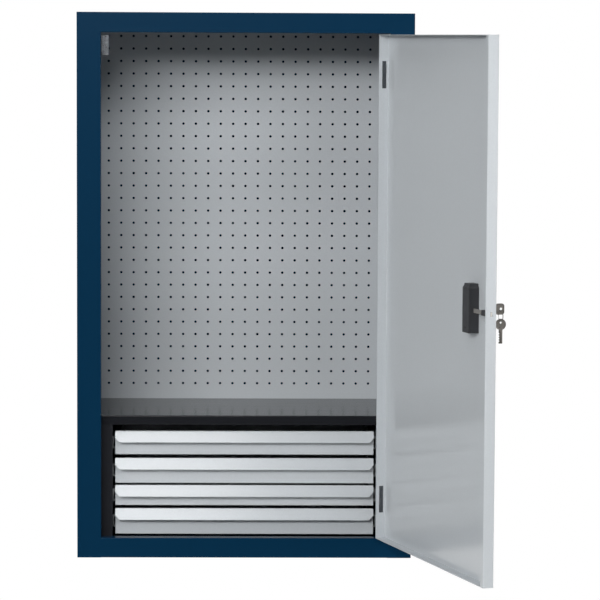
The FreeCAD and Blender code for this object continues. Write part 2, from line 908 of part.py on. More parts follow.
def lock_bolt():
    """Sliding bolt: flat bar with a slotted yoke over the crank pin."""
    half = bolt_height / 2
    bar = block(
        bolt_end_x, yoke_x + bolt_tail, bolt_front, bolt_back, lock_z - half, lock_z + half
    )
    half_yoke = yoke_slot_half + yoke_side_wall
    slot_low = lock_z + crank_throw - yoke_slot_half
    slot_high = lock_z + crank_radius + yoke_slot_half
    yoke = block(
        yoke_x - half_yoke, yoke_x + half_yoke, bolt_front, bolt_back, lock_z, slot_high + yoke_wall
    )
    slot = block(
        yoke_x - yoke_slot_half, yoke_x + yoke_slot_half,
        bolt_front - overrun, bolt_back + overrun, slot_low, slot_high,
    )
    return joined([bar, yoke]).cut(slot)


def bolt_guide():
    """Guide on the inside of the free edge flange, in which the bolt slides."""
    half_thickness = guide_thickness / 2
    half_height = guide_height / 2
    guide = block(
        guide_low_x, guide_high_x, bolt_middle - half_thickness, bolt_middle + half_thickness,
        lock_z - half_height, lock_z + half_height,
    )
    corners = [
        edge for edge in guide.Edges
        if edge.BoundBox.YLength > half_thickness and edge.BoundBox.XMin > guide_high_x - guide_round
    ]
    guide = guide.makeFillet(guide_round, corners)
    half_slot = bolt_height / 2 + bolt_guide_play
    slot = block(
        guide_low_x - overrun, guide_high_x + overrun,
        bolt_front - bolt_guide_play, bolt_back + bolt_guide_play, lock_z - half_slot, lock_z + half_slot,
    )
    return guide.cut(slot)


def build_carcass():
    """Sheets of the cabinet body, its tool panel and the door stop."""
    right = side_panel()
    upper = top_panel()
    save("side_panel_right", right)
    save("side_panel_left", mirrored(right, SIDEWAYS).cut(strike_slot()))
    save("top_panel", upper)
    save("bottom_panel", mirrored(upper, UP))
    save("back_panel", back_panel())
    save("rear_rail_upper", hat_rail(hat_places[0]))
    save("rear_rail_lower", hat_rail(hat_places[1]))
    save("tool_panel", tool_panel())
    save("tool_panel_screws", *[panel_screw(x, z) for x, z in panel_screw_places()])
    save("door_stop", door_stop())


def build_drawer_unit():
    """Shelf, unit sides, and each drawer with its rails and runners."""
    unit_right = unit_side()
    save("shelf", shelf())
    save("drawer_unit_side_right", unit_right)
    save("drawer_unit_side_left", mirrored(unit_right, SIDEWAYS))
    for number, (low, high) in enumerate(drawer_levels(), start=1):
        middle_z = sum(tray_levels(low, high)) / 2
        rail = drawer_rail(middle_z)
        runner = drawer_runner(middle_z)
        save(f"drawer_{number}_front", drawer_front(low, high))
        save(f"drawer_{number}_tray_walls", tray_walls(low, high))
        save(f"drawer_{number}_tray_floor", tray_floor(low, high))
        save(f"drawer_{number}_rail_right", rail)
        save(f"drawer_{number}_rail_left", mirrored(rail, SIDEWAYS))
        save(f"drawer_{number}_runner_right", runner)
        save(f"drawer_{number}_runner_left", mirrored(runner, SIDEWAYS))


def build_door():
    """Door pan and hinges."""
    save("door_panel", opened(door_panel()))
    for name, middle_z in hinge_places.items():
        save(f"hinge_{name}_frame_leaf", frame_leaf(middle_z))
        save(f"hinge_{name}_door_leaf", opened(door_leaf(middle_z)))
        save(f"hinge_{name}_pin", hinge_pin(middle_z))


def build_lock():
    """Lock works, knob and keys on the door."""
    save("lock_case", opened(lock_case()))
    save("lock_case_screws", *[opened(case_screw(place)) for place in case_screw_places()])
    save("lock_rosette", opened(rosette()))
    save("knob", opened(knob()))
    save("lock_spindle", opened(spindle_cam()))
    save("lock_cylinder", opened(lock_cylinder()))
    save("lock_plug", opened(lock_plug()))
    save("key", opened(key()))
    save("key_ring", opened(key_ring()))
    save("spare_key", opened(spare_key()))
    save("lock_bolt", opened(lock_bolt()))
    save("lock_bolt_guide", opened(bolt_guide()))


os.makedirs("parts", exist_ok=True)
build_carcass()
build_drawer_unit()
build_door()
build_lock()
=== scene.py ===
import json
import math

import bmesh
import bpy
from bpy.props import FloatProperty, FloatVectorProperty, IntProperty, PointerProperty
from mathutils import Matrix, Vector


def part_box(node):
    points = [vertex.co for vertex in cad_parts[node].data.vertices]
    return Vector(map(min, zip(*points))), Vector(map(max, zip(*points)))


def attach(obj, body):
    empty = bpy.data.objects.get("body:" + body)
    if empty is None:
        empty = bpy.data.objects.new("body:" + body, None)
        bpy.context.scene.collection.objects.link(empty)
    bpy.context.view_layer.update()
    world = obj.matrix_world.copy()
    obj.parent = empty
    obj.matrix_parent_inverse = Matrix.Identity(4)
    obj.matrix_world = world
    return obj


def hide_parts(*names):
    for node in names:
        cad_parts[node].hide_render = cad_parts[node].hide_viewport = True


bl_info = {
    "name": "Wall tool cabinet",
    "version": (1, 0, 0),
    "blender": (4, 5, 0),
    "location": "View3D > Sidebar > Cabinet",
    "description": "Finishes, lock fittings and studio for a sheet steel wall cabinet",
    "category": "Object",
}

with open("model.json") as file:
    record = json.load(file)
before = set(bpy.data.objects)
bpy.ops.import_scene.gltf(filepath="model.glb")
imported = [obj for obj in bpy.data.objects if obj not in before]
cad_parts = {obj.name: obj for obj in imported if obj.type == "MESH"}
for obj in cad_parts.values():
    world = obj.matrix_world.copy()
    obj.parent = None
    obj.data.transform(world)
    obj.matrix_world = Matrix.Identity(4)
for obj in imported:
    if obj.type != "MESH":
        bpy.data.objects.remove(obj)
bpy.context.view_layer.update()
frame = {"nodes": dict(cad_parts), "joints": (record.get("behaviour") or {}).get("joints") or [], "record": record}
MM = 0.001

# The door stands open in the frame. Its fittings are modelled on the shut door and swung out with it.
JOINTS = {joint["name"]: joint for joint in frame["joints"]}
HINGE = Vector(JOINTS["door_hinge"]["pos_m"])
OPENING = -math.radians(JOINTS["door_hinge"]["range_deg"][0])
SWING = Matrix.Translation(HINGE) @ Matrix.Rotation(OPENING, 4, "Z") @ Matrix.Translation(-HINGE)
LOCK_AXIS = SWING.inverted() @ Vector(JOINTS["knob_turn"]["pos_m"])
RING_PIVOT = SWING.inverted() @ Vector(JOINTS["ring_swing"]["pos_m"])
SPARE_PIVOT = SWING.inverted() @ Vector(JOINTS["spare_key_swing"]["pos_m"])


def linear(hex_colour):
    """Linear red, green and blue of an sRGB hex colour."""
    channels = [int(hex_colour[place:place + 2], 16) / 255 for place in (1, 3, 5)]
    return tuple(level / 12.92 if level <= 0.04045 else ((level + 0.055) / 1.055) ** 2.4
                 for level in channels)


def length(label, text, millimetres):
    """A length property with its default in millimetres."""
    return FloatProperty(name=label, description=text, default=millimetres * MM, unit="LENGTH", precision=5)


def colour(label, text, hex_colour):
    """A colour property with an sRGB hex default."""
    return FloatVectorProperty(name=label, description=text, default=linear(hex_colour), subtype="COLOR",
                               min=0, max=1)


class CabinetColours(bpy.types.PropertyGroup):
    """Colours of the finishes"""
    grey: colour("Light grey", "Powder coat of door, drawers and tool panel", "#C9CED2")
    blue: colour("Dark blue", "Powder coat of the cabinet body", "#082E48")
    shelf: colour("Shelf grey", "Enamel of the shelf over the drawers", "#1E1F23")
    # The tool panel's screws take this black as painted shade, so that they read as the dark holes of the panel
    # around them.
    unit: colour("Unit black", "Paint of the drawer unit and the tool panel's screws", "#25262A")
    zinc: colour("Zinc", "Zinc coat of rails and runners", "#B4B8BB")
    hinge: colour("Hinge steel", "Satin steel of hinges and door stop", "#6F7276")
    plastic: colour("Black plastic", "Lock cover with its screws, knob and bolt guide", "#2E2F32")
    nickel: colour("Nickel", "Bright plating of bolt, rosette, spindle and cylinder", "#D5D3CE")
    brass: colour("Brass", "Turning core of the lock", "#C9A65C")
    key: colour("Key steel", "Stamped keys and their ring", "#6B6864")
    floor: colour("Floor", "Pale studio floor", "#F2F2F0")


class CabinetSizes(bpy.types.PropertyGroup):
    """Sizes of the modelled fittings"""
    cover_wall: length("Cover wall", "Thickness of the moulded lock cover", 1.4)
    cover_cap: length("Cover cap", "Height of the stepped cap on the lock cover", 7.5)
    cover_slope: length("Cover slope", "Height of the slope under the cap", 4.2)
    cover_step: length("Cover step", "How far the cap stands in", 2.3)
    cover_edge: length("Cover edge", "Rounding of the lock cover's edges", 1.2)
    gate_play: length("Gate play", "Room around bolt and screws in the lock cover", 0.2)
    bolt_height: length("Bolt height", "Height of the bolt's bar", 7.5)
    knob_base: length("Knob base", "Height of the knob's round base", 9.0)
    grip_half: length("Grip half", "Half the thickness of the knob's grip", 8.6)
    bore_radius: length("Knob bore", "Radius of the knob's bore for the lock cylinder", 7.05)
    knob_edge: length("Knob edge", "Rounding of the knob's grip", 2.0)
    rib_depth: length("Rib depth", "Depth of the grooves around the knob's base", 0.7)
    key_thickness: length("Key thickness", "Thickness of the keys' sheet", 2.0)
    key_blade: length("Key blade", "Width of the keys' blades", 6.6)
    key_shank: length("Key shank", "How far the key's bow stands off the lock", 5.0)
    key_edge: length("Key edge", "Rounding of the keys' edges", 0.25)
    key_recess: length("Key recess", "Depth of the sunk field in a key's bow", 0.3)
    key_rim: length("Key rim", "Width of the rim around that field", 1.8)
    key_groove: length("Key groove", "Depth of the groove milled along a blade", 0.45)
    key_groove_width: length("Groove width", "Width of that groove", 1.3)
    ring_wire: length("Ring wire", "Radius of the split ring's wire", 0.32)
    screw_head: length("Panel screw head", "Radius of the tool panel's screw heads", 3.8)
    screw_shank: length("Panel screw shank", "Radius of the tool panel's screws", 2.0)
    case_screw_head: length("Cover screw head", "Radius of the lock cover's screw heads", 3.0)
    case_screw_thickness: length("Cover screw thickness", "Height of those heads", 1.2)
    case_screw_shank: length("Cover screw shank", "Radius of the lock cover's screws", 1.5)
    rib_count: IntProperty(name="Ribs", description="Ribs around the knob's base", default=24, min=8, max=60)


class CabinetStudio(bpy.types.PropertyGroup):
    """Camera and lamps"""
    lens: FloatProperty(name="Lens", description="Focal length on a 36 mm sensor, in millimetres",
                        default=176.835)
    camera_place: FloatVectorProperty(name="Camera place", description="Where the camera stands",
                                      default=(-0.0009, -5.9585, 0.4731), subtype="TRANSLATION",
                                      unit="LENGTH")
    camera_aim: FloatVectorProperty(name="Camera aim", description="Direction in which the camera looks",
                                    default=(0.0188, 0.99596, -0.08779), subtype="DIRECTION")
    camera_roll: FloatProperty(name="Camera roll", description="Turn of the camera about its aim",
                               default=math.radians(0.292), unit="ROTATION", subtype="ANGLE", precision=5)
    room: FloatProperty(name="Room light", description="Brightness of the dim room around the lamps",
                        default=0.045)
    floor_drop: length("Floor drop", "Height of the cabinet's origin over the floor", 1300.0)
    floor_glow: FloatProperty(name="Floor glow",
                              description="How much paler the floor looks than its light makes it",
                              default=0.85)
    floor_radius: length("Floor radius", "Radius of the pale floor", 2000.0)


# Softboxes: span in azimuth from the front to the right and in elevation, in degrees as seen from the
# cabinet, brightness, where 1 is white, and whether glossy paint mirrors them.
LAMPS = {
    "key_softbox": ((-40, 0), (13, 22), 13.6, True),
    "upper_key": ((-40, 0), (22, 34), 2.5, True),
    "left_softbox": ((-62, -40), (5, 22), 3.3, True),
    "top_softbox": ((-20, 0), (48, 58), 7.5, True),
    "right_softbox": ((20, 62), (20, 34), 6.4, True),
    "low_fill": ((40, 62), (-5, 5), 4.9, True),
    "back_softbox": ((145, 215), (8, 30), 3.2, False),
}
LAMP_DISTANCE = 5.0
LAMP_CENTRE = Vector((0, -0.2, 0))
FLOOR_SIDES = 128
SENSOR_WIDTH = 36
WHITE = (1, 1, 1, 1)
# How far back a direction has to lean to meet the white backdrop
BEHIND = 0.05

# How squarely a picked face looks along an axis, or how little it does
FACING = 0.9
ACROSS = 0.1
# Reach of a pick by place, and of a weld
TOUCH = MM / 10
WELD = 0.002 * MM
# Least angle of a sharp edge, of a crease in the shading, and of an edge that a flat stretch keeps
EDGE_ANGLE = math.radians(25)
SHADING_ANGLE = math.radians(32)
FLAT_ANGLE = math.radians(1)
QUARTER_TURN = math.radians(90)

# Screws: sides, crown of the head, and cross recess in shares of the head's radius and height
SCREW_SIDES = 48
CROWN_ANGLE = math.radians(70)
CROWN_RINGS = 4
PANEL_CROWN_SHARE = 0.6
COVER_CROWN_SHARE = 0.3
RECESS_LENGTH_SHARE = 0.52
RECESS_WIDTH_SHARE = 0.13
RECESS_FLOOR_SHARE = 0.35
RECESS_TOP_SHARE = 2
RECESS_TAPER_SHARE = 0.55

# Lock cover and knob: steps of their rounded edges, and faces of their round stretches
COVER_STEPS = 3
KNOB_STEPS = 4
FACES_PER_RIB = 4
GRIP_SIDES = 96
BORE_SIDES = 64

# Keys: rounding, and each groove's side with its offset as a share of the blade's width
KEY_STEPS = 2
KEY_CORNER = math.radians(40)
GROOVE_SHARES = ((-1, 0.25), (1, -0.15))

# Split ring: sides of its wire, steps and turns of its coil, and its pitch as a share of the wire's radius
WIRE_SIDES = 14
COIL_STEPS = 72
COIL_TURNS = 2
COIL_PITCH_SHARE = 2.1
# The coils stop short of two whole turns, which leaves the split where keys are threaded on.
COIL_ANGLE = math.radians(345)

# Name of the finish made for each material slot of the record
FINISHES = {}


def select_only(piece):
    """Makes a piece the one selected and active object."""
    bpy.ops.object.select_all(action="DESELECT")
    piece.select_set(True)
    bpy.context.view_layer.objects.active = piece


def place_in_mesh(piece):
    """Puts a piece's place, turn and scale into its mesh."""
    select_only(piece)
    bpy.ops.object.transform_apply(location=True, rotation=True, scale=True)


def named(name):
    """Names the object that an operator has just added."""
    piece = bpy.context.object
    piece.name = name
    piece.data.name = name
    return piece


def add_block(name, low, high):
    """Adds a block between two corners."""
    bpy.ops.object.select_all(action="DESELECT")
    bpy.ops.mesh.primitive_cube_add(size=1, location=(Vector(low) + Vector(high)) / 2)
    piece = named(name)
    piece.scale = Vector(high) - Vector(low)
    place_in_mesh(piece)
    return piece


def add_rod(name, radius, low, high, axis_place, sides):
    """Adds a round rod along Y between two depths."""
    bpy.ops.object.select_all(action="DESELECT")
    middle = Vector((axis_place.x, (low + high) / 2, axis_place.z))
    bpy.ops.mesh.primitive_cylinder_add(vertices=sides, radius=radius, depth=high - low, location=middle,
                                        rotation=(QUARTER_TURN, 0, 0))
    piece = named(name)
    place_in_mesh(piece)
    return piece


def edit(piece):
    """Opens a piece in edit mode with nothing selected."""
    select_only(piece)
    bpy.ops.object.mode_set(mode="EDIT")
    bpy.ops.mesh.select_all(action="DESELECT")


def close():
    """Leaves edit mode."""
    bpy.ops.object.mode_set(mode="OBJECT")


def pick_faces(piece, test):
    """Selects the faces whose centre and normal pass a test."""
    bpy.ops.mesh.select_mode(type="FACE")
    bpy.ops.mesh.select_all(action="DESELECT")
    mesh = bmesh.from_edit_mesh(piece.data)
    mesh.normal_update()
    for face in mesh.faces:
        face.select_set(test(face.calc_center_median(), face.normal))
    mesh.select_flush_mode()
    bmesh.update_edit_mesh(piece.data)


def pick_points(piece, test):
    """Selects the vertices whose place passes a test."""
    bpy.ops.mesh.select_mode(type="VERT")
    bpy.ops.mesh.select_all(action="DESELECT")
    mesh = bmesh.from_edit_mesh(piece.data)
    for point in mesh.verts:
        point.select_set(test(point.co))
    mesh.select_flush_mode()
    bmesh.update_edit_mesh(piece.data)


def pick_sharp_edges(piece, test):
    """Selects the edges between faces that meet sharply and whose middle passes a test."""
    bpy.ops.mesh.select_mode(type="EDGE")
    bpy.ops.mesh.select_all(action="DESELECT")
    mesh = bmesh.from_edit_mesh(piece.data)
    mesh.normal_update()
    for edge in mesh.edges:
        sharp = len(edge.link_faces) == 2 and edge.calc_face_angle() > EDGE_ANGLE
        edge.select_set(sharp and test((edge.verts[0].co + edge.verts[1].co) / 2))
    mesh.select_flush_mode()
    bmesh.update_edit_mesh(piece.data)


def extrude(offset):
    """Extrudes the selected faces by an offset."""
    bpy.ops.mesh.extrude_region_move(TRANSFORM_OT_translate={"value": tuple(offset)})


def apply_modifier(piece, kind, **settings):
    """Adds a modifier with its settings and applies it."""
    select_only(piece)
    modifier = piece.modifiers.new(kind.lower(), kind)
    for name, value in settings.items():
        setattr(modifier, name, value)
    bpy.ops.object.modifier_apply(modifier=modifier.name)


def combine(piece, other, operation):
    """Joins another piece to this one, or cuts it out, and deletes the other."""
    apply_modifier(piece, "BOOLEAN", object=other, operation=operation, solver="MANIFOLD")
    bpy.data.objects.remove(other)


def merge_doubles(piece):
    """Welds a mesh's doubled points and turns its faces outwards."""
    edit(piece)
    bpy.ops.mesh.select_all(action="SELECT")
    bpy.ops.mesh.remove_doubles(threshold=WELD)
    bpy.ops.mesh.normals_make_consistent(inside=False)
    close()


def closed_box(node):
    """Lowest and highest corner of a door node with the door shut."""
    shut = SWING.inverted()
    places = [shut @ vertex.co for vertex in frame["nodes"][node].data.vertices]
    low = Vector(min(place[axis] for place in places) for axis in range(3))
    high = Vector(max(place[axis] for place in places) for axis in range(3))
    return low, high


def fit(piece, body, slot, node):
    """Smooths a finished piece, gives it its finish and lets it ride in place of a node."""
    select_only(piece)
    bpy.ops.object.shade_smooth_by_angle(angle=SHADING_ANGLE)
    apply_modifier(piece, "WEIGHTED_NORMAL", keep_sharp=True)
    piece.data.materials.clear()
    piece.data.materials.append(finish_of(slot))
    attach(piece, body)
    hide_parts(node)


def swing_out(piece):
    """Swings a piece that was modelled on the shut door out to the open door."""
    piece.matrix_world = SWING @ piece.matrix_world
    place_in_mesh(piece)


def add_node(tree, kind, inputs=None, **settings):
    """Adds a node with its settings, and sets or links its inputs."""
    node = tree.nodes.new(kind)
    for name, value in settings.items():
        setattr(node, name, value)
    for name, value in (inputs or {}).items():
        if isinstance(value, bpy.types.NodeSocket):
            tree.links.new(value, node.inputs[name])
        else:
            node.inputs[name].default_value = value
    return node


def per_metre(millimetres):
    """Texture scale that gives a pattern of this size."""
    return 1 / (millimetres * MM)


def new_surface(name):
    """An empty material with its node tree, and its object coordinates."""
    material = bpy.data.materials.new(name)
    material.use_nodes = True
    tree = material.node_tree
    tree.nodes.clear()
    coordinates = add_node(tree, "ShaderNodeTexCoord").outputs["Object"]
    return material, tree, coordinates


def close_surface(material, tree, inputs, **settings):
    """Ends a material with its shader and output."""
    shader = add_node(tree, "ShaderNodeBsdfPrincipled", inputs, **settings)
    add_node(tree, "ShaderNodeOutputMaterial", {"Surface": shader.outputs["BSDF"]})
    return material


def opaque(rgb):
    """A colour with its alpha."""
    return (rgb[0], rgb[1], rgb[2], 1)


def scaled(rgb, share):
    """A colour at a share of its brightness."""
    return opaque([channel * share for channel in rgb])


def noise(tree, place, scale, detail):
    """Factor of a noise pattern."""
    return add_node(tree, "ShaderNodeTexNoise", {"Vector": place, "Scale": scale,
                                                 "Detail": detail}).outputs["Fac"]


def stretched_noise(tree, place, sizes, detail):
    """Factor of a noise pattern with its own size, in millimetres, along each axis."""
    along = add_node(tree, "ShaderNodeMapping", {"Vector": place,
                                                 "Scale": [per_metre(size) for size in sizes]})
    return noise(tree, along.outputs["Vector"], 1.0, detail)


def relief(tree, height, depth, strength):
    """Normal of a shallow relief, its depth in millimetres."""
    return add_node(tree, "ShaderNodeBump", {"Height": height, "Strength": strength,
                                             "Distance": depth * MM}).outputs["Normal"]


def fine_relief(tree, place, size, depth, strength):
    """Shallow noise relief of a given grain size and depth, in millimetres."""
    return relief(tree, noise(tree, place, per_metre(size), detail=2.0), depth, strength)


def between(tree, factor, low, high):
    """Maps a pattern's factor to a range of values."""
    mapped = add_node(tree, "ShaderNodeMapRange", {"Value": factor, "From Min": 0.3, "From Max": 0.7,
                                                   "To Min": low, "To Max": high},
                      interpolation_type="SMOOTHSTEP")
    return mapped.outputs["Result"]


def shades(tree, factor, rgb, dark, light):
    """Mixes two shades of a colour by a pattern's factor."""
    mixed = add_node(tree, "ShaderNodeMix", {"Factor": factor, "A": scaled(rgb, dark),
                                             "B": scaled(rgb, light)}, data_type="RGBA")
    return mixed.outputs["Result"]


def powder_coat(name, rgb, roughness, gloss=0.5):
    """Baked polyester powder coat: even colour, soft sheen and a faint orange peel."""
    material, tree, place = new_surface(name)
    # The real peel is about 1 mm wide, finer than a pixel of the whole cabinet, so it is drawn at 1.6 mm.
    peel = fine_relief(tree, place, size=1.6, depth=0.05, strength=0.12)
    grain = noise(tree, place, per_metre(3), detail=1.0)
    return close_surface(material, tree, {
        "Base Color": shades(tree, grain, rgb, dark=0.96, light=1.04),
        "Roughness": roughness, "Normal": peel, "IOR": 1.5, "Specular IOR Level": gloss})


def shelf_enamel(rgb):
    """Stoved dark enamel: a fairly clear mirror, dulled in faint wipe marks along the shelf."""
    material, tree, place = new_surface("stoved_shelf_enamel")
    wipes = stretched_noise(tree, place, sizes=(160, 5, 1000), detail=3.0)
    return close_surface(material, tree, {
        "Base Color": shades(tree, wipes, rgb, dark=0.96, light=1.06),
        "Roughness": between(tree, wipes, low=0.14, high=0.18),
        "Normal": fine_relief(tree, place, size=2.5, depth=0.04, strength=0.08),
        "IOR": 1.5, "Specular IOR Level": 0.3})


def zinc_sheet(rgb):
    """Hot dip zinc: dull metal broken into flat spangles of slightly different brightness."""
    material, tree, place = new_surface("galvanised_sheet")
    cells = add_node(tree, "ShaderNodeTexVoronoi", {"Vector": place, "Scale": per_metre(6)})
    cell = add_node(tree, "ShaderNodeSeparateColor", {"Color": cells.outputs["Color"]}).outputs["Red"]
    return close_surface(material, tree, {
        "Base Color": shades(tree, cell, rgb, dark=0.82, light=1.05), "Metallic": 1.0,
        "Roughness": between(tree, cell, low=0.32, high=0.46),
        "Normal": fine_relief(tree, place, size=0.8, depth=0.03, strength=0.2)})


def drawn_steel(name, rgb, roughness, grain, metal=1.0):
    """Drawn or buffed metal: fine lines along one direction that stretch its highlights."""
    material, tree, place = new_surface(name)
    # Real buffing lines are a few hundredths of a millimetre apart, so they are drawn coarser to show.
    lines = stretched_noise(tree, place, grain, detail=4.0)
    return close_surface(material, tree, {
        "Base Color": shades(tree, lines, rgb, dark=0.92, light=1.05), "Metallic": metal,
        "Roughness": between(tree, lines, low=roughness - 0.05, high=roughness + 0.07),
        "Normal": relief(tree, lines, depth=0.02, strength=0.1)})


def moulded_plastic(rgb):
    """Moulded black ABS: a fine spark eroded texture that spreads its highlights."""
    material, tree, place = new_surface("moulded_black_abs")
    cloud = noise(tree, place, per_metre(20), detail=2.0)
    return close_surface(material, tree, {
        "Base Color": shades(tree, cloud, rgb, dark=0.92, light=1.08),
        "Roughness": between(tree, cloud, low=0.4, high=0.48),
        "Normal": fine_relief(tree, place, size=0.6, depth=0.04, strength=0.35), "IOR": 1.53})


def stamped_steel(rgb):
    """Stamped and tumbled key steel: dull nickel with rubbed patches and small nicks."""
    material, tree, place = new_surface("tumbled_key_steel")
    rubbed = noise(tree, place, per_metre(3), detail=5.0)
    return close_surface(material, tree, {
        "Base Color": shades(tree, rubbed, rgb, dark=0.94, light=1.05), "Metallic": 1.0,
        "Roughness": between(tree, rubbed, low=0.27, high=0.33),
        "Normal": fine_relief(tree, place, size=0.7, depth=0.02, strength=0.15)})


def finishes(colours):
    """The finish of each material slot in the record."""
    return {
        "grey_paint": powder_coat("light_grey_powder_coat", colours.grey, roughness=0.16),
        "body_paint": powder_coat("dark_blue_powder_coat", colours.blue, roughness=0.22, gloss=0.08),
        "shelf_paint": shelf_enamel(colours.shelf),
        "unit_paint": powder_coat("black_unit_paint", colours.unit, roughness=0.2, gloss=0.2),
        "rail_zinc": zinc_sheet(colours.zinc),
        "hinge_steel": drawn_steel("satin_hinge_steel", colours.hinge, roughness=0.24, grain=(0.4, 0.4, 15)),
        "lock_black": moulded_plastic(colours.plastic),
        "bright_steel": drawn_steel("buffed_nickel_plate", colours.nickel, roughness=0.2, grain=(4, 4, 0.3),
                                    metal=0.65),
        "plug_brass": drawn_steel("turned_brass", colours.brass, roughness=0.26, grain=(0.3, 0.3, 0.3)),
        "key_steel": stamped_steel(colours.key),
    }


def finish_of(slot):
    """The finish that belongs to a material slot."""
    return bpy.data.materials[FINISHES[slot]]


def background_rays(tree, mirror_share):
    """1 for the camera's rays, a share for mirrored and passing rays, and 0 for light on the object."""
    ray = add_node(tree, "ShaderNodeLightPath")
    mirrored = add_node(tree, "ShaderNodeMath", {0: ray.outputs["Is Glossy Ray"],
                                                 1: ray.outputs["Is Transmission Ray"]}, operation="MAXIMUM")
    shown = add_node(tree, "ShaderNodeMath", {0: mirrored.outputs[0], 1: mirror_share}, operation="MULTIPLY")
    return add_node(tree, "ShaderNodeMath", {0: ray.outputs["Is Camera Ray"], 1: shown.outputs[0]},
                    operation="MAXIMUM").outputs[0]


class CABINET_OT_studio(bpy.types.Operator):
    """Sets up floor, softboxes, white background and camera"""
    bl_idname = "cabinet.studio"
    bl_label = "Studio"

    def execute(self, context):
        settings = context.scene.cabinet_studio
        context.scene.view_settings.view_transform = "Standard"
        self.add_floor(context, settings)
        for name, lamp in LAMPS.items():
            self.add_lamp(name, *lamp)
        self.light_room(context.scene, settings)
        self.add_camera(context.scene, settings)
        return {"FINISHED"}

    def add_floor(self, context, settings):
        """Pale round floor well below the hanging cabinet."""
        bpy.ops.object.select_all(action="DESELECT")
        bpy.ops.mesh.primitive_circle_add(vertices=FLOOR_SIDES, radius=settings.floor_radius,
                                          fill_type="NGON", location=(0, LAMP_CENTRE.y, -settings.floor_drop))
        floor = named("floor")
        place_in_mesh(floor)
        rgb = context.scene.cabinet_colours.floor
        floor.data.materials.append(self.floor_paint(rgb, settings.floor_glow))

    def floor_paint(self, rgb, glow):
        """Matt floor paint: nearly white, with a rolled coat's faint clouds, and paler to the camera."""
        material, tree, place = new_surface("matt_floor_paint")
        cloud = noise(tree, place, per_metre(400), detail=3.0)
        strength = add_node(tree, "ShaderNodeMath", {0: background_rays(tree, mirror_share=1.0), 1: glow},
                            operation="MULTIPLY").outputs[0]
        return close_surface(material, tree, {
            "Base Color": shades(tree, cloud, rgb, dark=0.98, light=1.0), "Roughness": 0.8,
            "Specular IOR Level": 0.1, "Emission Color": opaque(rgb), "Emission Strength": strength})

    def add_lamp(self, name, azimuths, elevations, brightness, mirrored):
        """Softbox that faces the cabinet."""
        turn = math.radians(sum(azimuths) / 2)
        rise = math.radians(sum(elevations) / 2)
        outward = Vector((math.sin(turn) * math.cos(rise), -math.cos(turn) * math.cos(rise), math.sin(rise)))
        bpy.ops.object.light_add(type="AREA", location=LAMP_CENTRE + outward * LAMP_DISTANCE)
        lamp = named(name)
        lamp.rotation_euler = outward.to_track_quat("Z", "Y").to_euler()
        lamp.data.shape = "RECTANGLE"
        half_width, half_height = (math.radians(span[1] - span[0]) / 2 for span in (azimuths, elevations))
        lamp.data.size = 2 * LAMP_DISTANCE * math.tan(half_width) * math.cos(rise)
        lamp.data.size_y = 2 * LAMP_DISTANCE * math.tan(half_height)
        lamp.data.energy = brightness * math.pi * lamp.data.size * lamp.data.size_y
        lamp.visible_camera = False
        lamp.visible_glossy = mirrored

    def light_room(self, scene, settings):
        """Dim room for the light, white background for the camera and for reflections of the back."""
        world = bpy.data.worlds.new("studio_room")
        world.use_nodes = True
        scene.world = world
        tree = world.node_tree
        tree.nodes.clear()
        direction = add_node(tree, "ShaderNodeTexCoord").outputs["Generated"]
        parts = add_node(tree, "ShaderNodeSeparateXYZ", {"Vector": direction})
        behind = add_node(tree, "ShaderNodeMath", {0: parts.outputs["Y"], 1: BEHIND},
                          operation="GREATER_THAN").outputs[0]
        room = add_node(tree, "ShaderNodeBackground", {"Color": WHITE, "Strength": settings.room})
        backdrop = add_node(tree, "ShaderNodeBackground", {"Color": WHITE, "Strength": 1.0})
        mixed = add_node(tree, "ShaderNodeMixShader", {0: background_rays(tree, behind), 1: room.outputs[0],
                                                      2: backdrop.outputs[0]})
        add_node(tree, "ShaderNodeOutputWorld", {"Surface": mixed.outputs[0]})

    def add_camera(self, scene, settings):
        """Camera at the photograph's place and angle."""
        bpy.ops.object.camera_add(location=settings.camera_place)
        camera = named("camera")
        aim = Vector(settings.camera_aim)
        upright = aim.to_track_quat("-Z", "Y")
        camera.rotation_mode = "QUATERNION"
        camera.rotation_quaternion = Matrix.Rotation(-settings.camera_roll, 4, aim).to_quaternion() @ upright
        camera.data.lens = settings.lens
        camera.data.sensor_width = SENSOR_WIDTH
        scene.camera = camera


class CABINET_OT_finishes(bpy.types.Operator):
    """Gives every sheet, rail and fitting of the frame its finish"""
    bl_idname = "cabinet.finishes"
    bl_label = "Finishes"

    def execute(self, context):
        for slot, material in finishes(context.scene.cabinet_colours).items():
            FINISHES[slot] = material.name
        for subpart in frame["record"]["subparts"]:
            node = frame["nodes"][subpart["node"]]
            node.data.materials.clear()
            node.data.materials.append(finish_of(subpart["material_slot"]))
        return {"FINISHED"}


